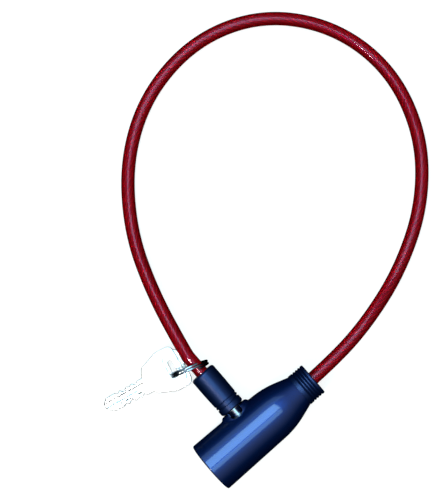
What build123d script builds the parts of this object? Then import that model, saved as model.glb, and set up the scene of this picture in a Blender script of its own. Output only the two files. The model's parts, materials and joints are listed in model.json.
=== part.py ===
from build123d import *
import os
from math import asin, cos, degrees, pi, radians, sin, sqrt, tan

# Keyed cable lock for luggage, in millimetres.
#
# The pieces are drawn in lock coordinates: X runs along the body from the key face (X = 0)
# to the cable neck, Y is the direction in which the plug pulls out of its socket, and Z is up,
# with the body's axis at Y = 0, Z = 0. The last step stands everything on z = 0.
# The plug is home in its socket and the cylinder is turned to open, so the latch is clear.

# ---- body cover -------------------------------------------------------------------------
body_length = 79.0          # key face to the lip of the neck collar
body_radius = 16.0          # at the key face
collar_length = 10.7        # from the cover's end to the lip
cover_end_x = body_length - collar_length
cover_end_radius = 10.0
shoulder_radius = body_radius - 0.8     # where the draft ends and the shoulder begins
shoulder_x = cover_end_x - 15.8
shoulder_blend = 55.0       # radius of the shoulder's curve
cover_wall = 2.6            # at the key face
rim_round = 0.9
edge_break = 0.3            # chamfer on turned and plated edges
slip = 0.1                  # radial clearance of a hand-pushed piece
fit = 0.05                  # radial clearance of a running or seated piece

# ---- socket boss ------------------------------------------------------------------------
bolt_radius = 4.0
socket_x = 28.4 + bolt_radius           # plug axis from the key face; the bolt clears the latch
boss_reach = body_radius + 1.0          # from the body's axis
boss_radius = 9.4
boss_round = 1.2
boss_blend = 1.6
window_width = 8.7          # the sight notch that shows the bolt
window_floor = boss_reach - 4.6         # from the body's axis
window_corner = 3.0

# ---- neck collar ------------------------------------------------------------------------
collar_radius = cover_end_radius + 0.35
collar_spigot_radius = 7.0
collar_spigot_length = 8.3
collar_round = 0.8
groove_count = 4
groove_first = 3.1          # from the start of the collar
groove_pitch = 1.8
groove_width = 1.5          # across the mouth of each V
groove_depth = 0.55

# ---- cylinder ---------------------------------------------------------------------------
face_recess = 0.8           # bezel below the cover's rim
bezel_thickness = 1.2
core_radius = 7.0
flange_radius = core_radius + 1.0
flange_thickness = 2.2
tab_reach = flange_radius + 1.6         # stop tab, from the axis
tab_width = 2.4
core_turn = 90.0            # degrees between open and locked
barrel_end = 21.5           # end of the core's barrel, from the key face
spindle_radius = 4.95
clip_x = 23.2
clip_thickness = 0.8
clip_radius = core_radius - 0.7
clip_groove_radius = 4.0
clip_gap = 3.2              # opening of the clip
clip_room = 0.3             # round and behind the clip
case_split = 25.4           # front casting ends, rear block begins
keyway_width = 2.3
keyway_height = 9.0
keyway_end = 20.0           # floor of the keyway
keyway_flare = 0.5          # lead-in at each side of its mouth

# ---- wafers -----------------------------------------------------------------------------
wafer_count = 5
wafer_first = 6.0
wafer_pitch = 3.0
wafer_thickness = 1.0
wafer_width = 6.0
wafer_travel = 0.9
wafer_window = (2.5, 9.2)   # width and height of the hole that the key's blade fills
wafer_spring_turns = 5
wafer_ear = 2.2             # how far the spring ear stands out
wafer_ear_height = 1.0
wafer_spring_radius = 0.65
wafer_spring_wire = 0.25
wafer_spring_length = 3.6

# ---- latch ------------------------------------------------------------------------------
drive_radius = 2.0          # drive pin from the core's axis
drive_pin_radius = 1.0
drive_start = -45.0         # degrees from +Y, at rest
latch_thickness = 2.0
latch_gap = 0.3             # between fork and bolt
latch_arm = 1.8             # width of each fork arm
latch_bottom = -8.5
latch_y = 1.5               # middle of the fork, and of the bolt's groove
latch_play = 0.15
slab_width = 6.0            # the latch's slab, driven by the pin
slab_gap = 0.3              # between the slab and the front casting
slab_rim = 1.1              # metal above the pin's track
foot_radius = 2.2
foot_thickness = 1.0
spring_seat = cover_wall + 1.6 - body_radius
latch_spring_radius = 1.6
latch_spring_wire = 0.5
latch_spring_turns = 4
cap_thickness = 1.1

# ---- plug -------------------------------------------------------------------------------
bolt_waist = 2.5            # radius in the latch groove
bolt_groove = 2.6           # its width
bolt_tip = -6.2
bolt_nose = 2.8             # length of the taper
bolt_nose_radius = 1.8
barrel_radius = bolt_radius + 0.8
ring_start = boss_reach + 0.6           # plug ring, from the body's axis
ring_length = 4.0
ring_radius = 7.7
ring_lead = 0.8             # chamfer at its open end
sleeve_radius = 7.85
sleeve_end = ring_start + 27.3
sleeve_round = 1.5
rib_height = 0.7            # of the rib between the sleeve's two grooves
rib_width = 1.0
grip_start = 3.1            # where the sleeve's grip begins, from the ring
grip_draft = 0.2
jacket_seat = sleeve_end - 6.9          # end of the bolt's barrel, where the jacket stops
rope_seat = jacket_seat - 14.0          # bottom of the bolt's rope socket

# ---- cable ------------------------------------------------------------------------------
cable_radius = 4.0
rope_radius = 2.5
crimp_radius = 5.0
crimp_start = 39.0
crimp_end = 58.0
crimp_floor = 42.0
crimp_pin_x = 44.0
crimp_pin_radius = 1.5
crimp_pin_foot = 3.1        # the pin's lower end, from the axis
block_end = 47.4
dowel_radius = 1.25
dowel_circle = 10.3
dowel_length = 16.0

# ---- keys and their ring ----------------------------------------------------------------
key_length = 51.0
key_thickness = 2.0
key_nose = 2.6              # length of the blade's pointed end
key_nose_width = 2.8
head_end = 6.3              # the head's end edge, from the slot's middle
head_corners = [(-17.6, 3.4), (-15.4, 7.6), (-4.0, 11.8), (6.3, 11.2)]
head_round = [1.0, 3.0, 6.0, 3.6]
blade_width = 8.0
blade_offset = -1.6         # the blade's middle from the head's
bitting = [(0.30, 1.0), (0.46, 1.5), (0.62, 0.7), (0.78, 1.2)]   # share of the blade, depth
notch_flat = 1.2
slot_length = 13.6
slot_width = 5.0
slot_corner = 1.8
mill_width = 2.6
mill_depth = 0.45
mill_end = 0.5              # from the end of the groove to the head
key_tilt = 3.2              # degrees; the tip rests on the floor
key_a_level = 5.1 - body_radius         # underside of each key at its slot
key_b_level = 2.7 - body_radius
key_a_heading = -11.8       # degrees
key_b_heading = -13.8
key_b_slide = -2.6          # how far the lower key lies along its slot
key_b_shift = -0.2          # and across it
ring_wire = 1.3
ring_coil_radius = body_radius - 4.8
ring_start_angle = 60.0     # of the wire's first end
ring_lift = 0.15            # off the floor
ring_side_gap = 0.25        # between the wire and the end of a key's slot
ring_pitch = 1.5
ring_yaw = -18.0
ring_centre = (socket_x - 4.2, sleeve_end + 6.4)

# Route of the cable's centre line, in lock coordinates: from the crimp's mouth in the neck,
# down on to the floor, round the loop and back up into the plug's sleeve.
low = cable_radius + 0.2 - body_radius
route = [
    (crimp_end, 0.0, 0.0),
    (body_length + 13.0, 0.0, 0.0),
    (124.0, 3.8, -2.2),
    (160.0, 14.2, -10.6),
    (194.5, 34.5, low),
    (220.5, 65.5, low),
    (232.0, 106.0, low),
    (223.5, 146.5, low),
    (197.0, 179.0, low),
    (158.5, 194.0, low),
    (116.5, 189.5, low),
    (81.5, 169.0, low),
    (55.0, 135.5, low),
    (41.0, 99.0, -4.1),
    (socket_x, sleeve_end + 14.1, 0.0),
    (socket_x, jacket_seat, 0.0),
]
joint_leg = 8               # the run of the route whose middle parts the cable's two halves

# ---- worked out from the values above ---------------------------------------------------
case_radius = body_radius - cover_wall - slip
bezel_x = face_recess
case_x = face_recess + bezel_thickness
case_bore_radius = core_radius + fit
drive_travel = 2 * drive_radius * sin(radians(core_turn / 2))
latch_waist = bolt_waist + latch_gap
fork_half = latch_waist + latch_arm
groove_low = latch_y - bolt_groove / 2
groove_high = latch_y + bolt_groove / 2
fork_top = -sqrt((bolt_radius + 0.2) ** 2 - latch_waist ** 2)
slab_x = case_split + slab_gap
slab_end = slab_x + latch_thickness


# ---- helpers ----------------------------------------------------------------------------
def tube_x(radius, start, end, bore=0.0):
    """A cylinder or tube along X, from start to end."""
    solid = Pos(start, 0, 0) * Rot(0, 90, 0) * extrude(Circle(radius), end - start)
    if bore:
        solid -= Pos(start, 0, 0) * Rot(0, 90, 0) * extrude(Circle(bore), end - start)
    return solid


def tube_y(radius, start, end):
    """A cylinder along Y on the plug's axis, from start to end."""
    return Pos(socket_x, start, 0) * Rot(-90, 0, 0) * extrude(Circle(radius), end - start)


def tube_z(radius, start, end, x, y):
    """A cylinder along Z, from start to end."""
    return Pos(x, y, start) * extrude(Circle(radius), end - start)


def block(x_low, x_high, y_low, y_high, z_low, z_high):
    """A box between its low and high corners."""
    centre = Pos((x_low + x_high) / 2, (y_low + y_high) / 2, (z_low + z_high) / 2)
    return centre * Box(x_high - x_low, y_high - y_low, z_high - z_low)


def turned_y(outline):
    """A solid of revolution about the plug's axis from (y, radius) corners."""
    corners = [(socket_x + r, y) for y, r in outline]
    return revolve(make_face(Polyline(*corners, close=True)), Axis((socket_x, 0, 0), (0, 1, 0)))


def coil(radius, wire, pitch, height):
    """A coil spring or ring of round wire on Z, from z = 0 to z = height."""
    path = Helix(pitch=pitch, height=height, radius=radius)
    section = Plane(origin=path @ 0, z_dir=path % 0) * Circle(wire / 2)
    return sweep(section, path=path)


# ---- body -------------------------------------------------------------------------------
def cover():
    """Moulded bottle-shaped shell with the socket boss and its sight notch."""
    corners = [(0, 0), (0, body_radius), (shoulder_x, shoulder_radius), (cover_end_x, cover_end_radius)]
    outer = FilletPolyline(*corners, radius=[rim_round, shoulder_blend])
    lines = outer + Polyline(corners[-1], (cover_end_x, 0), corners[0])
    shell = revolve(make_face(lines), Axis.X)
    boss = tube_y(boss_radius, 0, boss_reach)
    boss = fillet(boss.edges().sort_by(Axis.Y)[-1], boss_round)
    shell += boss
    shell = fillet(boss_seam(shell), boss_blend)
    shell -= tube_x(case_radius + slip, 0, block_end + slip)
    shell -= tube_x(collar_spigot_radius + fit, 0, cover_end_x)
    shell -= tube_y(bolt_radius + slip, 0, boss_reach + boss_round)
    return shell - sight_notch()


def boss_seam(shell):
    """The curved edge where the boss meets the body."""
    seam = []
    low = socket_x - boss_radius
    high = socket_x + boss_radius
    for edge in shell.edges().filter_by(GeomType.CIRCLE, reverse=True):
        box = edge.bounding_box()
        around = abs(box.min.X - low) < edge_break or abs(box.max.X - high) < edge_break
        if around and box.max.Y < boss_reach - boss_round / 2:
            seam.append(edge)
    return seam


def sight_notch():
    """The U-shaped notch on the boss's upper side."""
    reach = boss_reach + boss_round - window_floor
    centre = Pos(socket_x, window_floor + reach)
    outline = centre * RectangleRounded(window_width, 2 * reach, window_corner)
    return extrude(outline, body_radius)


def neck_collar():
    """Ribbed collar round the cable's exit, pushed into the cover's neck."""
    start = cover_end_x
    spigot = start - collar_spigot_length
    collar = tube_x(collar_radius, start, body_length)
    collar = fillet(collar.edges().filter_by(GeomType.CIRCLE).sort_by(Axis.X)[-1], collar_round)
    collar += tube_x(collar_spigot_radius, spigot, start + fit)
    for i in range(groove_count):
        x = start + groove_first + i * groove_pitch
        half = groove_width / 2
        mouth = collar_radius + slip
        floor = collar_radius - groove_depth
        profile = Polyline((x - half, mouth), (x + half, mouth), (x, floor), close=True)
        collar -= revolve(make_face(profile), Axis.X)
    return collar - tube_x(cable_radius + fit, spigot - 1, body_length + 1)


def face_bezel():
    """Bright ring round the cylinder at the key face."""
    ring = tube_x(case_radius, bezel_x, case_x, flange_radius + slip)
    edges = ring.edges().filter_by(GeomType.CIRCLE).group_by(Axis.X)[0]
    return chamfer(edges, edge_break)


def dowel_places():
    """Centres, in Y and Z, of the two dowels that join the castings."""
    return [(dowel_circle * cos(a), dowel_circle * sin(a)) for a in (pi / 4, 5 * pi / 4)]


def dowels(growth=0.0):
    """Two dowels across the split, or their holes when grown."""
    middle = case_split
    half = dowel_length / 2 + growth
    pins = []
    for y, z in dowel_places():
        pins.append(Pos(0, y, z) * tube_x(dowel_radius + growth, middle - half, middle + half))
    return pins


def stop_groove():
    """Arc in the casting's mouth that lets the stop tab turn from open to locked."""
    end = bezel_x + flange_thickness + slip
    inner = flange_radius - tab_width / 4
    outer = tab_reach + 2 * slip
    half = degrees(asin(tab_width / 2 / inner)) + 0.5
    profile = Polyline((case_x, inner), (end, inner), (end, outer), (case_x, outer), close=True)
    sector = revolve(make_face(profile), Axis.X, revolution_arc=core_turn + 2 * half)
    return Rot(-90.0 - half, 0, 0) * sector


def cylinder_case():
    """Front die casting that holds the key cylinder."""
    case = tube_x(case_radius, case_x, case_split)
    case -= tube_x(case_bore_radius, case_x, barrel_end + slip)
    case -= tube_x(flange_radius + fit, case_x, bezel_x + flange_thickness + slip)
    case -= stop_groove()
    case -= tube_x(spindle_radius + fit, case_x, case_split)
    case -= tube_x(clip_radius + clip_room, clip_x - slip, case_split)
    channel_top = core_radius + wafer_travel + 4 * slip
    channel_half = wafer_width / 2 + 4 * slip
    channel_end = wafer_places()[-1] + 2 * wafer_thickness
    channel_start = wafer_first - wafer_thickness
    channel = block(channel_start, channel_end, -channel_half, channel_half, 0, channel_top)
    case -= channel
    case -= Rot(core_turn, 0, 0) * channel
    for hole in dowels(fit):
        case -= hole
    return case


def rear_block():
    """Rear die casting with the bolt's bore, the latch's pocket and the cable's socket."""
    body = tube_x(case_radius, case_split, block_end)
    body -= tube_y(bolt_radius + slip, bolt_tip - 0.5, case_radius + 1)
    body -= tube_x(crimp_radius + fit, crimp_start - fit, block_end + 1)
    play = latch_play
    low, high = slab_y()
    top = slab_top() + drive_travel + play
    body -= block(case_split - 1, slab_end + play, low - play, high + play, latch_bottom - play, top)
    fork_low = latch_y - latch_thickness / 2 - play
    fork_high = latch_y + latch_thickness / 2 + play
    body -= block(
        case_split - 1, socket_x + fork_half + play, fork_low, fork_high,
        latch_bottom - play, fork_top + drive_travel + play,
    )
    foot_top = latch_bottom + foot_thickness + drive_travel + play
    body -= tube_z(foot_radius + play, -case_radius - 1, foot_top, socket_x, latch_y)
    body -= tube_z(crimp_pin_radius + fit, 0, case_radius + 1, crimp_pin_x, 0)
    for hole in dowels(fit):
        body -= hole
    return body


def core():
    """Key cylinder: flange, barrel with keyway and wafer slots, spindle and stop tab."""
    flange_back = bezel_x + flange_thickness
    solid = tube_x(flange_radius, bezel_x, flange_back)
    front = solid.edges().filter_by(GeomType.CIRCLE).sort_by(Axis.X)[0]
    solid = chamfer(front, edge_break)
    solid += tube_x(core_radius, bezel_x, barrel_end)
    solid += tube_x(spindle_radius, barrel_end, case_split - slip)
    solid += block(case_x + slip, flange_back, -tab_width / 2, tab_width / 2, -tab_reach, 0)
    solid -= tube_x(spindle_radius + 1, clip_x, clip_x + clip_thickness, clip_groove_radius)
    half = keyway_height / 2
    wide = keyway_width / 2 + keyway_flare
    solid -= block(0, keyway_end, -keyway_width / 2, keyway_width / 2, -half, half)
    high = half + keyway_flare
    mouth = block(bezel_x - 1, bezel_x + keyway_flare, -wide, wide, -high, high)
    floor = mouth.faces().sort_by(Axis.X)[-1]
    solid -= chamfer(floor.edges(), keyway_flare * 0.9)
    for x in wafer_places():
        solid -= wafer_slot(x)
    y, z = drive_place()
    solid -= Pos(0, y, z) * tube_x(drive_pin_radius + fit, drive_pin_start() - slip, case_split)
    return solid


def drive_pin_start():
    """X of the drive pin's seat in the core."""
    return barrel_end + drive_pin_radius


def wafer_places():
    """X of each wafer's front face."""
    return [wafer_first + i * wafer_pitch for i in range(wafer_count)]


def wafer_half():
    """Half of a wafer's height, just inside the core's surface."""
    return sqrt((core_radius - slip) ** 2 - (wafer_width / 2) ** 2)


def wafer_slot(x):
    """Slot in the core for one wafer, its ear and its spring."""
    side = wafer_width / 2 + fit
    slot = block(x - fit, x + wafer_thickness + fit, -side, side, -core_radius, core_radius + 1)
    ear = block(
        x - fit, x + wafer_thickness + fit, 0, side + wafer_ear + fit,
        0, wafer_ear_height + wafer_travel + slip,
    )
    reach = wafer_spring_radius + wafer_spring_wire / 2 + slip
    pocket = tube_z(reach, -wafer_spring_length - 2 * fit, fit, x + wafer_thickness / 2, spring_y())
    return slot + ear + pocket


def spring_y():
    """Y of the wafer springs."""
    return wafer_width / 2 + wafer_ear / 2 + slip


def wafers():
    """The wafers, level with the core's surface as a key holds them."""
    half = wafer_half()
    side = wafer_width / 2
    across, up = wafer_window[0] / 2, wafer_window[1] / 2
    plates = []
    for x in wafer_places():
        plate = block(x, x + wafer_thickness, -side, side, -half, half)
        plate += block(x, x + wafer_thickness, 0, side + wafer_ear, fit, wafer_ear_height)
        window = block(x, x + wafer_thickness, -across, across, -up, up)
        plates.append(plate - window)
    return plates


def wafer_springs():
    """One small coil spring under each wafer's ear."""
    height = wafer_spring_length - wafer_spring_wire
    spring = coil(wafer_spring_radius, wafer_spring_wire, height / wafer_spring_turns, height)
    low = -wafer_spring_length + wafer_spring_wire / 2
    return [Pos(x + wafer_thickness / 2, spring_y(), low) * spring for x in wafer_places()]


def core_clip():
    """Retaining clip on the spindle, behind the casting's shoulder."""
    clip = tube_x(clip_radius, clip_x + fit, clip_x + clip_thickness - fit, clip_groove_radius + fit)
    gap = block(clip_x - 1, clip_x + 2, -clip_gap / 2, clip_gap / 2, 0, clip_radius + 1)
    return clip - gap


def drive_place():
    """Y and Z of the drive pin at rest."""
    angle = radians(drive_start)
    return drive_radius * cos(angle), drive_radius * sin(angle)


def drive_pin():
    """Eccentric pin pressed into the spindle's end, which moves the latch."""
    y, z = drive_place()
    return Pos(0, y, z) * tube_x(drive_pin_radius, drive_pin_start(), slab_end - slip)


def slab_y():
    """Low and high Y of the latch's slab."""
    return latch_y - slab_width / 2, latch_y + slab_width / 2


def slab_top():
    """Highest Z of the latch's slab at rest."""
    return drive_place()[1] + drive_pin_radius + latch_play + slab_rim


def latch():
    """Forked latch: a fork that enters the bolt's groove and a slab that the drive pin lifts."""
    low, high = slab_y()
    slab = block(slab_x, slab_end, low, high, latch_bottom, slab_top())
    z = drive_place()[1]
    slot_half = drive_pin_radius + latch_play
    track_low = drive_place()[0] - drive_pin_radius - latch_play
    track_high = drive_radius + drive_pin_radius + latch_play
    slab -= block(slab_x - 1, slab_end + 1, track_low, track_high, z - slot_half, z + slot_half)
    half = latch_thickness / 2
    fork_end = socket_x + fork_half
    fork = block(slab_end - half, fork_end, latch_y - half, latch_y + half, latch_bottom, fork_top)
    fork -= Pos(socket_x, latch_y, fork_top) * Rot(90, 0, 0) * Cylinder(latch_waist, latch_thickness + 1)
    foot = tube_z(foot_radius, latch_bottom, latch_bottom + foot_thickness, socket_x, latch_y)
    behind = block(0, slab_end, -body_radius, body_radius, -body_radius, 0)
    return slab + fork + (foot - behind)


def latch_spring():
    """Spring that pushes the latch towards the bolt."""
    height = latch_bottom - spring_seat - latch_spring_wire - 2 * fit
    spring = coil(latch_spring_radius, latch_spring_wire, height / latch_spring_turns, height)
    return Pos(socket_x, latch_y, spring_seat + latch_spring_wire / 2 + fit) * spring


def spring_cap():
    """Disc pressed into the spring's hole."""
    radius = foot_radius + latch_play - fit
    return tube_z(radius, spring_seat - cap_thickness, spring_seat, socket_x, latch_y)


def cable_crimp():
    """Steel crimp on the cable's fixed end."""
    crimp = tube_x(crimp_radius, crimp_start, crimp_end)
    crimp = chamfer(crimp.edges().filter_by(GeomType.CIRCLE), edge_break)
    crimp -= tube_x(rope_radius + fit, crimp_floor, crimp_end + 1)
    return crimp - tube_z(crimp_pin_radius + fit, crimp_pin_foot - fit, crimp_radius + 1, crimp_pin_x, 0)


def crimp_pin():
    """Pin that holds the crimp in the rear block."""
    return tube_z(crimp_pin_radius, crimp_pin_foot, case_radius - edge_break, crimp_pin_x, 0)


# ---- plug -------------------------------------------------------------------------------
def bolt():
    """Turned steel bolt: tapered nose, latch groove, shank, and barrel with the rope's socket."""
    solid = turned_y([
        (bolt_tip, 0), (bolt_tip, bolt_nose_radius), (bolt_tip + bolt_nose, bolt_radius),
        (groove_low, bolt_radius), (groove_low, bolt_waist),
        (groove_high, bolt_waist), (groove_high, bolt_radius),
        (boss_reach + fit, bolt_radius), (boss_reach + fit, barrel_radius),
        (jacket_seat, barrel_radius), (jacket_seat, 0),
    ])
    return solid - tube_y(rope_radius + fit, rope_seat, jacket_seat + 1)


def plug_ring():
    """Moulded ring at the plug's mouth."""
    end = ring_start + ring_length
    bore = barrel_radius + fit
    return turned_y([
        (ring_start, bore), (ring_start, ring_radius - ring_lead), (ring_start + ring_lead, ring_radius),
        (end - edge_break, ring_radius), (end, ring_radius - edge_break), (end, bore),
    ])


def plug_sleeve():
    """Moulded grip over the bolt's barrel and the cable's end."""
    start = ring_start + ring_length
    bore = barrel_radius + fit
    neck = ring_radius - rib_height - slip
    rib = start + rib_width
    grip = start + grip_start
    sleeve = turned_y([
        (start, bore), (start, neck), (rib - slip, neck), (rib, neck + rib_height),
        (rib + rib_width - slip, neck + rib_height), (rib + rib_width, neck + rib_height / 2),
        (grip - rib_width / 2, neck + rib_height / 2), (grip, sleeve_radius - grip_draft),
        (grip + 9 * rib_width, sleeve_radius), (sleeve_end, sleeve_radius), (sleeve_end, 0),
        (jacket_seat + fit, 0), (jacket_seat + fit, bore),
    ])
    end = sleeve.edges().filter_by(GeomType.CIRCLE).sort_by(Axis.Y)[-1]
    sleeve = fillet(end, sleeve_round)
    return sleeve - tube_y(cable_radius + fit, jacket_seat - 1, sleeve_end + 1)


# ---- cable ------------------------------------------------------------------------------
def bend_radius(i):
    """Arc radius at a point of the route: 0.45 of its shorter run over the tangent of half its turn."""
    before, here, after = (Vector(*p) for p in route[i - 1:i + 2])
    shorter = min((here - before).length, (after - here).length)
    turn = (here - before).get_angle(after - here)
    return 0.45 * shorter / tan(radians(turn / 2))


def half_route(plug_side):
    """Points and arc radii of one half of the cable, which ends in the middle of the joint leg."""
    points = [Vector(*p) for p in route]
    radii = [bend_radius(i) for i in range(1, len(route) - 1)]
    cut = joint_leg + 1
    middle = (points[joint_leg] + points[cut]) * 0.5
    if plug_side:
        return [middle] + points[cut:], radii[joint_leg:]
    return points[:cut] + [middle], radii[:joint_leg]


def cable_tube(points, radii, radius, bore=0.0):
    """A plain round tube along straight runs joined by tangent arcs."""
    path = FilletPolyline(*points, radius=radii)
    end = Plane(origin=path @ 0, z_dir=path % 0)
    solid = sweep(end * Circle(radius), path=path)
    if bore:
        solid -= sweep(end * Circle(bore), path=path)
    print("bend radii", [round(r) for r in radii], "length", round(path.length, 1))
    section = pi * (radius ** 2 - bore ** 2)
    print("volume over section times length", round(solid.volume / (section * path.length), 4))
    return solid


def jacket(plug_side):
    """One half of the cable's clear jacket."""
    points, radii = half_route(plug_side)
    return cable_tube(points, radii, cable_radius, rope_radius + fit)


def wire_rope(plug_side):
    """One half of the steel rope, which goes on into the crimp or the bolt."""
    points, radii = half_route(plug_side)
    if plug_side:
        points[-1] = Vector(socket_x, rope_seat, 0)
    else:
        points[0] = Vector(crimp_floor, 0, 0)
    return cable_tube(points, radii, rope_radius)


# ---- keys -------------------------------------------------------------------------------
def ring_height():
    """Z of the split ring's middle: it stands upright on the floor, round the cable."""
    return ring_coil_radius + ring_wire / 2 + ring_lift - body_radius


def key_ring():
    """Split ring: two turns of round wire."""
    ring = coil(ring_coil_radius, ring_wire, ring_pitch, 2 * ring_pitch)
    upright = Pos(*ring_centre, ring_height()) * Rot(0, 0, ring_yaw) * Rot(90, 0, 0)
    return upright * Rot(0, 0, ring_start_angle) * Pos(0, 0, -ring_pitch) * ring


def key_head():
    """Outline of the key's head, which widens towards its end edge."""
    corners = head_corners + [(x, -y) for x, y in reversed(head_corners)]
    radii = head_round + list(reversed(head_round))
    face = make_face(Polyline(*corners, close=True))
    for (x, y), radius in zip(corners, radii):
        corner = face.vertices().sort_by_distance((x, y, 0))[0]
        face = fillet(corner, radius)
    return face


def key_notch(x, edge, depth):
    """One cut of the bitting, in the blade's edge at x; depth is signed towards the middle."""
    half = notch_flat / 2
    reach = half + abs(depth)
    floor = edge + depth
    outline = [(x - reach, edge), (x - half, floor), (x + half, floor), (x + reach, edge)]
    return make_face(Polyline(*outline, close=True))


def key_blank():
    """A flat key. Its origin is the middle of the slot, and +X is the end of its head."""
    tip = head_end - key_length
    shoulder = head_corners[0][0]
    low = blade_offset - blade_width / 2
    high = blade_offset + blade_width / 2
    nose_low = blade_offset - key_nose_width / 2
    nose_high = blade_offset + key_nose_width / 2
    root = head_corners[1][0]
    blade = make_face(Polyline(
        (root, low), (tip + key_nose, low), (tip, nose_low), (tip, nose_high), (tip + key_nose, high),
        (root, high), close=True,
    ))
    outline = key_head() + blade
    for share, depth in bitting:
        x = tip + key_nose + share * (shoulder - tip - key_nose)
        outline -= key_notch(x, low, depth)
        outline -= key_notch(x, high, -depth)
    key = extrude(outline, key_thickness)
    key -= extrude(RectangleRounded(slot_width, slot_length, slot_corner), key_thickness)
    side = mill_width / 2
    for level in (key_thickness - mill_depth, 0):
        top = level + mill_depth
        key -= block(tip, shoulder - mill_end, blade_offset - side, blade_offset + side, level, top)
    return key


def key_place(level, heading, slide, shift):
    """Placement of a key whose slot holds the ring's wire at a height above the floor."""
    drop = level + key_thickness / 2 - ring_height()
    across = -sqrt(ring_coil_radius ** 2 - drop ** 2)
    x = ring_centre[0] + across * cos(radians(ring_yaw))
    y = ring_centre[1] + across * sin(radians(ring_yaw))
    along = slot_length / 2 - ring_pitch - ring_wire / 2 + ring_side_gap + slide
    return Pos(x, y, level) * Rot(0, 0, heading) * Pos(shift, along, 0) * Rot(0, -key_tilt, 0)


def key_a():
    """The upper key."""
    return key_place(key_a_level, key_a_heading, 0, 0) * key_blank()


def key_b():
    """The lower key."""
    return key_place(key_b_level, key_b_heading, key_b_slide, key_b_shift) * key_blank()


# ---- the nodes --------------------------------------------------------------------------
nodes = {
    "cover": cover(),
    "neck_collar": neck_collar(),
    "face_bezel": face_bezel(),
    "cylinder_case": cylinder_case(),
    "rear_block": rear_block(),
    "case_dowels": dowels(),
    "core": core(),
    "wafers": wafers(),
    "wafer_springs": wafer_springs(),
    "core_clip": core_clip(),
    "drive_pin": drive_pin(),
    "latch": latch(),
    "latch_spring": latch_spring(),
    "spring_cap": spring_cap(),
    "cable_crimp": cable_crimp(),
    "crimp_pin": crimp_pin(),
    "bolt": bolt(),
    "plug_ring": plug_ring(),
    "plug_sleeve": plug_sleeve(),
    "jacket_neck_half": jacket(plug_side=False),
    "jacket_plug_half": jacket(plug_side=True),
    "rope_neck_half": wire_rope(plug_side=False),
    "rope_plug_half": wire_rope(plug_side=True),
    "key_ring": key_ring(),
    "key_a": key_a(),
    "key_b": key_b(),
}

# The lock stands on z = 0, with the origin under the middle of its body's box.
place = Pos(-body_length / 2, (body_radius - boss_reach) / 2, body_radius)


def main():
    os.makedirs("parts", exist_ok=True)
    for name, shape in nodes.items():
        solids = shape if isinstance(shape, list) else [shape]
        placed = Compound([solid for s in solids for solid in (place * s).solids()])
        export_step(placed, f"parts/{name}.step")


main()
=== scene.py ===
import json
import math

import bmesh
import bpy
from mathutils import Matrix, Vector


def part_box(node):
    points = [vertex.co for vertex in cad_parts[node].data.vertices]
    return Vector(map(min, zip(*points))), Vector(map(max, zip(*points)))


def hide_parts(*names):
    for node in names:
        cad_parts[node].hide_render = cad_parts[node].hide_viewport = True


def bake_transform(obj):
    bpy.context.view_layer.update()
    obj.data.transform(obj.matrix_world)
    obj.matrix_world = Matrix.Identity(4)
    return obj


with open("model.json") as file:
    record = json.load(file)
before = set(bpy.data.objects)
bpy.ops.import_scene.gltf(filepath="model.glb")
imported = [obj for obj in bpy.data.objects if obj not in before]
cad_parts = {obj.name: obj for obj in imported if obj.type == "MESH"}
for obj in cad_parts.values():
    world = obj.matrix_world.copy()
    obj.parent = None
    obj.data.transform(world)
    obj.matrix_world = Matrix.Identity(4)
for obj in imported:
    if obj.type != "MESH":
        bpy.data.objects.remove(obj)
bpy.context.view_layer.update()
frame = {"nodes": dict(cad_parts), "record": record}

# A keyed cable lock for luggage. Metres throughout, in the frame of the CAD model.
# Lock coordinates, used for the route: X from the key face to the cable's neck, Y the way the
# plug pulls out, Z up, with the body's axis at Y = 0 and Z = 0.
bezel_low, bezel_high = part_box("face_bezel")
bezel_middle = (bezel_low + bezel_high) / 2
lock_origin = Vector((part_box("cover")[0].x, bezel_middle.y, bezel_middle.z))

cable_diameter = 0.008
rope_diameter = 0.005

# ---- the cable's route: the control points of one smooth curve, from the neck to the plug
route = [
    (0.0580, 0.0000, 0.0000),
    (0.0920, 0.0000, 0.0000),
    (0.1240, 0.0038, -0.0022),
    (0.1600, 0.0142, -0.0106),
    (0.1945, 0.0345, -0.0118),
    (0.2205, 0.0655, -0.0118),
    (0.2320, 0.1060, -0.0118),
    (0.2235, 0.1465, -0.0118),
    (0.1970, 0.1790, -0.0118),
    (0.1585, 0.1940, -0.0118),
    (0.1165, 0.1895, -0.0118),
    (0.0815, 0.1690, -0.0118),
    (0.0550, 0.1355, -0.0118),
    (0.0410, 0.0990, -0.0041),
    (0.0324, 0.0590, 0.0000),
    (0.0324, 0.0545, 0.0000),
    (0.0324, 0.0380, 0.0000),
]


def route_curve(name):
    """The route as a curve of one open NURBS spline."""
    curve = bpy.data.curves.new(name, "CURVE")
    curve.dimensions = "3D"
    spline = curve.splines.new("NURBS")
    spline.points.add(len(route) - 1)
    for point, place in zip(spline.points, route):
        point.co = (*(lock_origin + Vector(place)), 1.0)
    spline.order_u = 3
    spline.use_endpoint_u = True
    return curve


def meshed(curve):
    """The mesh that a curve shows as."""
    holder = bpy.data.objects.new("holder", curve)
    mesh = bpy.data.meshes.new_from_object(holder)
    bpy.data.objects.remove(holder)
    return mesh


def centre_line(steps):
    """Points along the route's spline, with steps between neighbouring control points."""
    curve = route_curve("route_line")
    curve.resolution_u = steps
    mesh = meshed(curve)
    return [v.co.copy() for v in mesh.vertices]


def shown(name, mesh, material):
    """A new piece in the scene, smooth shaded."""
    piece = bpy.data.objects.new(name, mesh)
    bpy.context.scene.collection.objects.link(piece)
    mesh.materials.clear()
    mesh.materials.append(material)
    mesh.shade_smooth()
    return piece


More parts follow.
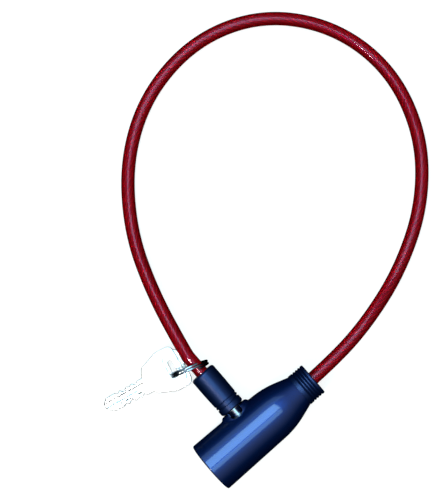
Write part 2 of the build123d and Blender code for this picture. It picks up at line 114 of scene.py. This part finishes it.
# ---- materials ----------------------------------------------------------------------------
def colour(code, alpha=1.0):
    """An sRGB hex colour as linear values."""
    parts = [int(code[i:i + 2], 16) / 255 for i in (1, 3, 5)]
    return (*[c / 12.92 if c <= 0.04045 else ((c + 0.055) / 1.055) ** 2.4 for c in parts], alpha)


def add(tree, kind, values=None, links=None, **settings):
    """Adds one shader node with its settings, its sockets' values and the links into it."""
    node = tree.nodes.new(kind)
    for name, value in settings.items():
        setattr(node, name, value)
    for name, value in (values or {}).items():
        node.inputs[name].default_value = value
    for name, source in (links or {}).items():
        tree.links.new(source, node.inputs[name])
    return node


def finish(name, **values):
    """A material with one Principled shader; returns it, its tree, its shader and its coordinates."""
    material = bpy.data.materials.new(name)
    material.use_nodes = True
    tree = material.node_tree
    shader = tree.nodes["Principled BSDF"]
    for socket, value in values.items():
        shader.inputs[socket.replace("_", " ")].default_value = value
    place = add(tree, "ShaderNodeTexCoord").outputs["Object"]
    return material, tree, shader, place


def worked(tree, shader, pattern, depth, rough, socket="Roughness"):
    """Lets a pattern of 0 to 1 set the surface's height, in metres, and its roughness, from low to high."""
    bump = add(tree, "ShaderNodeBump", {"Distance": depth}, {"Height": pattern})
    tree.links.new(bump.outputs["Normal"], shader.inputs["Normal"])
    if socket == "Coat Roughness":
        tree.links.new(bump.outputs["Normal"], shader.inputs["Coat Normal"])
    low, high = rough
    spread = add(tree, "ShaderNodeMapRange", {"To Min": low, "To Max": high}, {"Value": pattern})
    tree.links.new(spread.outputs["Result"], shader.inputs[socket])
    return bump


def along(tree, place, heading, cell):
    """Coordinates about the lock's axis, turned to a heading in degrees, in cells of a size in mm."""
    values = {
        "Location": lock_origin,
        "Rotation": (0, 0, math.radians(heading)),
        "Scale": [mm / 1000 for mm in cell],
    }
    mapping = add(tree, "ShaderNodeMapping", values, {"Vector": place}, vector_type="TEXTURE")
    return mapping.outputs["Vector"]


def pearl_abs(name, code, rough, coat, coat_rough, grain_mm, grain_depth):
    # Moulded ABS with a fine pearl pigment: a deep blue that glows round the highlight and goes
    # nearly black towards its edges, under the moulding's own skin.
    material, tree, shader, place = finish(
        name, Base_Color=colour(code), Metallic=0.85, Roughness=rough, Coat_Weight=coat, Coat_IOR=1.5,
    )
    grain = add(tree, "ShaderNodeTexNoise", {"Scale": 1000 / grain_mm, "Detail": 2.0}, {"Vector": place})
    worked(tree, shader, grain.outputs["Fac"], grain_depth, coat_rough, "Coat Roughness")
    return material


def clear_red_pvc():
    # Plasticised PVC, extruded clear with a red dye: wet-looking and deep red, with long faint
    # waves from the die; the rope shows through.
    material, tree, shader, place = finish(
        "clear_red_pvc", Base_Color=colour("#d00410"), IOR=1.45, Transmission_Weight=0.85, Roughness=0.25,
        Specular_Tint=colour("#d82a7c"), Coat_Weight=0.3, Coat_IOR=1.45,
    )
    wave_mm, wave_depth = 5.0, 0.000008
    waves = add(tree, "ShaderNodeTexNoise", {"Scale": 1000 / wave_mm, "Detail": 1.0}, {"Vector": place})
    worked(tree, shader, waves.outputs["Fac"], wave_depth, (0.02, 0.04), "Coat Roughness")
    return material


def grained_metal(name, code, rough, cell, depth, heading=0.0, edge_mm=0.0):
    # Metal with a grain of cells of a size in mm: cast, stamped, drawn or brushed along a heading.
    # An edge size makes its sharp edges shade as if they were tumbled round.
    material, tree, shader, place = finish(name, Base_Color=colour(code), Metallic=1.0)
    cells = along(tree, place, heading, cell)
    grain = add(tree, "ShaderNodeTexNoise", {"Scale": 1.0, "Detail": 3.0}, {"Vector": cells})
    bump = worked(tree, shader, grain.outputs["Fac"], depth, rough)
    if edge_mm:
        rounded = add(tree, "ShaderNodeBevel", {"Radius": edge_mm / 1000}, samples=8)
        tree.links.new(rounded.outputs["Normal"], bump.inputs["Normal"])
    return material


def turned_metal(name, code, rough, line, depth, heading=0.0):
    # Metal turned on a lathe: fine rings round its axis, on its sides and on its ends.
    material, tree, shader, place = finish(name, Base_Color=colour(code), Metallic=1.0)
    cells = along(tree, place, heading, (line, line, line))
    parts = add(tree, "ShaderNodeSeparateXYZ", links={"Vector": cells})
    flat = add(tree, "ShaderNodeCombineXYZ", links={"X": parts.outputs["Y"], "Y": parts.outputs["Z"]})
    out = add(tree, "ShaderNodeVectorMath", links={"Vector": flat.outputs["Vector"]}, operation="LENGTH")
    run = add(tree, "ShaderNodeMath", operation="ADD")
    tree.links.new(parts.outputs["X"], run.inputs[0])
    tree.links.new(out.outputs["Value"], run.inputs[1])
    rings = add(
        tree, "ShaderNodeTexNoise", {"Scale": 1.0, "Detail": 2.0}, {"W": run.outputs["Value"]},
        noise_dimensions="1D",
    )
    worked(tree, shader, rings.outputs["Fac"], depth, rough)
    return material


key_heading = -12.0
plug_heading = 90.0
finishes = {
    "black_abs": pearl_abs("gloss_pearl_abs", "#042a66", 0.38, 0.8, (0.05, 0.10), 1.6, 0.00001),
    "black_collar": pearl_abs("satin_pearl_abs", "#03204c", 0.46, 0.3, (0.25, 0.40), 0.5, 0.00001),
    "red_pvc": clear_red_pvc(),
    # Galvanised drawn wire: bright but slightly dull zinc, each wire catching its own line of light.
    "rope_steel": grained_metal("galvanised_wire", "#e9dfe6", (0.22, 0.42), (0.8, 0.8, 0.8), 0.000004),
    # Chrome plate over a turned ring: a mirror with faint rings.
    "bezel_chrome": turned_metal("chrome_plate", "#d8dadd", (0.04, 0.12), 0.30, 0.0000004),
    # Die-cast zinc: dull grey, mottled where the metal met in the mould.
    "zinc_casting": grained_metal("die_cast_zinc", "#a8aaad", (0.40, 0.62), (0.9, 0.9, 0.9), 0.00002),
    # Turned mild steel: soft sheen across fine lathe lines.
    "steel": turned_metal("turned_steel", "#b0b2b5", (0.25, 0.45), 0.18, 0.000003),
    # Hard-drawn spring wire: grey, with a dull bloom.
    "spring_steel": grained_metal("spring_wire", "#8f9195", (0.28, 0.45), (0.5, 0.5, 0.5), 0.000002),
    # Nickel plate on a turned brass cylinder: warm and satin, with rings on its face.
    "core_nickel": turned_metal("nickel_plated_core", "#cfcabd", (0.20, 0.36), 0.22, 0.000002),
    # Stamped brass sheet: warm yellow, rolled along one way.
    "brass": grained_metal("stamped_brass", "#c9a45c", (0.22, 0.40), (0.3, 2.5, 0.3), 0.000003),
    # Ground and polished bolt steel: a hard bright line on dark metal.
    "bolt_steel": turned_metal("polished_bolt", "#8e939b", (0.04, 0.10), 0.25, 0.0000006, plug_heading),
    # Nickel plate on ring wire: a blue-grey mirror, scuffed by the keys.
    "ring_steel": grained_metal("nickel_plated_wire", "#aab4c0", (0.06, 0.16), (1.2, 1.2, 1.2), 0.000003),
    # Nickel plate on a blanked key: bright, brushed along the blade.
    "key_nickel": grained_metal(
        "nickel_plated_key", "#d2cec8", (0.12, 0.24), (6.0, 0.35, 0.35), 0.000002, key_heading, edge_mm=0.9,
    ),
}
for part in frame["record"]["subparts"]:
    node = frame["nodes"][part["node"]]
    node.data.materials.clear()
    node.data.materials.append(finishes[part["material_slot"]])

# ---- the cable --------------------------------------------------------------------------
line = centre_line(12)

tube = route_curve("jacket_curve")
tube.resolution_u = 24
tube.bevel_depth = cable_diameter / 2
tube.bevel_resolution = 6
tube.use_fill_caps = True
jacket = shown("cable_jacket", meshed(tube), finishes["red_pvc"])


def evenly(points, step):
    """The line again, with points about a step apart, and how far along each is."""
    reach = [0.0]
    for a, b in zip(points, points[1:]):
        reach.append(reach[-1] + (b - a).length)
    count = math.ceil(reach[-1] / step)
    spaced, leg = [], 0
    for i in range(count + 1):
        at = reach[-1] * i / count
        while leg < len(points) - 2 and reach[leg + 1] < at:
            leg += 1
        share = (at - reach[leg]) / (reach[leg + 1] - reach[leg])
        spaced.append((points[leg].lerp(points[leg + 1], min(share, 1.0)), at))
    return spaced


def wire_rope(name, points, step, strands, wires, strand_lay, wire_lay):
    """A stranded rope round a line: strands wound one way, their wires wound the other way."""
    strand_radius = rope_diameter / 6
    wire_radius = strand_radius / 3
    curve = bpy.data.curves.new(name, "CURVE")
    curve.dimensions = "3D"
    curve.bevel_depth = wire_radius
    curve.bevel_resolution = 0
    spaced = evenly(points, step)
    centres = [p for p, at in spaced]
    side = Vector((0, 0, 1))
    frames = []
    for i, (here, at) in enumerate(spaced):
        ahead = (centres[min(i + 1, len(centres) - 1)] - centres[max(i - 1, 0)]).normalized()
        side = (side - ahead * side.dot(ahead)).normalized()
        frames.append((here, at, ahead, side, ahead.cross(side)))
    for s in range(strands):
        for w in range(wires):
            spline = curve.splines.new("POLY")
            spline.points.add(len(frames) - 1)
            for point, (here, at, ahead, u, v) in zip(spline.points, frames):
                turn = 2 * math.pi * (s / strands + at / strand_lay)
                out = u * math.cos(turn) + v * math.sin(turn)
                across = ahead.cross(out)
                own = 2 * math.pi * (w / wires - at / wire_lay)
                place = here + out * (2 * strand_radius)
                place += (out * math.cos(own) + across * math.sin(own)) * (2 * wire_radius)
                point.co = (*place, 1.0)
    return meshed(curve)


rope_mesh = wire_rope("rope_curve", line, step=0.0013, strands=6, wires=6, strand_lay=0.030, wire_lay=0.014)
rope = shown("wire_rope", rope_mesh, finishes["rope_steel"])

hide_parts("jacket_neck_half", "jacket_plug_half")
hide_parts("rope_neck_half", "rope_plug_half")
for piece in (jacket, rope):
    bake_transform(piece)

# ---- floor, light and camera ------------------------------------------------------------
floor_mesh = bpy.data.meshes.new("floor")
sheet = bmesh.new()
bmesh.ops.create_grid(sheet, x_segments=1, y_segments=1, size=4.0)
sheet.to_mesh(floor_mesh)
sheet.free()
# A matt white sheet with a glow of its own, so that it stays white behind the lock. It is kept out
# of reflections and bounced light, so that the lock's sides stay dark.
pale, _, _, _ = finish(
    "pale_floor", Base_Color=colour("#9a948c"), Roughness=0.9, Specular_IOR_Level=0.0,
    Emission_Color=colour("#ffffff"), Emission_Strength=0.8,
)
floor = shown("floor", floor_mesh, pale)
floor.location.z = -0.00005  # just under the lock, so that the two never share a plane
floor.visible_glossy = False
floor.visible_diffuse = False
floor.visible_transmission = False

world = bpy.data.worlds.new("studio")
world.use_nodes = True
sky = world.node_tree
back = sky.nodes["Background"]
back.inputs["Color"].default_value = (0.85, 0.93, 1.0, 1.0)
# Light from overhead that fades to nothing at the horizon, so that upright sides stay dark.
around = add(sky, "ShaderNodeTexCoord").outputs["Generated"]
direction = add(sky, "ShaderNodeSeparateXYZ", links={"Vector": around})
fade = add(
    sky, "ShaderNodeMapRange", {"From Min": 0.1, "From Max": 1.0, "To Min": 0.0, "To Max": 0.6},
    {"Value": direction.outputs["Z"]}, interpolation_type="SMOOTHSTEP",
)
sky.links.new(fade.outputs["Result"], back.inputs["Strength"])
bpy.context.scene.world = world


def area_lamp(name, size, place, radiance, tint=(1.0, 1.0, 1.0)):
    """A level rectangular lamp of a size, shining down."""
    light = bpy.data.lights.new(name, "AREA")
    light.shape = "RECTANGLE"
    light.size, light.size_y = size
    # A flat lamp gives watts over pi and area as radiance.
    light.energy = radiance * math.pi * light.size * light.size_y
    light.color = tint
    lamp = bpy.data.objects.new(name, light)
    bpy.context.scene.collection.objects.link(lamp)
    lamp.location = place


body_centre_x = 0.027
softbox_height = 1.5


def softbox(name, x_span, y_span, radiance):
    """A bluish lamp over the body, given by the angles, in degrees, that it spans there."""
    reach_x = [softbox_height * math.tan(math.radians(a)) + body_centre_x for a in x_span]
    reach_y = [softbox_height * math.tan(math.radians(a)) for a in y_span]
    size = (reach_x[1] - reach_x[0], reach_y[1] - reach_y[0])
    middle = Vector((sum(reach_x) / 2, sum(reach_y) / 2, softbox_height))
    area_lamp(name, size, lock_origin + middle, radiance, (0.40, 0.78, 1.0))


softbox("softbox_plug_side", (-8, 21), (3, 36), 8.0)
softbox("softbox_far_side", (-8, 21), (-18, 0), 4.0)
softbox("reflector_plug_side", (-30, 40), (38, 65), 1.0)
# A narrow strip beyond the key face, for the white glint where the loop turns back.
area_lamp("glint_strip", (0.8, 0.045), lock_origin + Vector((-0.73, -0.02, 1.8)), 100.0)

# The camera looks straight down from over the loop.
camera_data = bpy.data.cameras.new("camera")
camera_data.sensor_fit = "VERTICAL"
camera_data.sensor_height = 36.0
camera_data.lens = 138.2
camera = bpy.data.objects.new("camera", camera_data)
bpy.context.scene.collection.objects.link(camera)
right = Vector((0.755, -0.656, 0.0)).normalized()
up = Vector((0.656, 0.755, 0.0)).normalized()
turn = Matrix((right, up, Vector((0, 0, 1)))).transposed()
camera_place = lock_origin + Vector((0.0866, 0.0944, 1.1))
camera.matrix_world = Matrix.Translation(camera_place) @ turn.to_4x4()
bpy.context.scene.camera = camera
bpy.context.scene.view_settings.view_transform = "Standard"
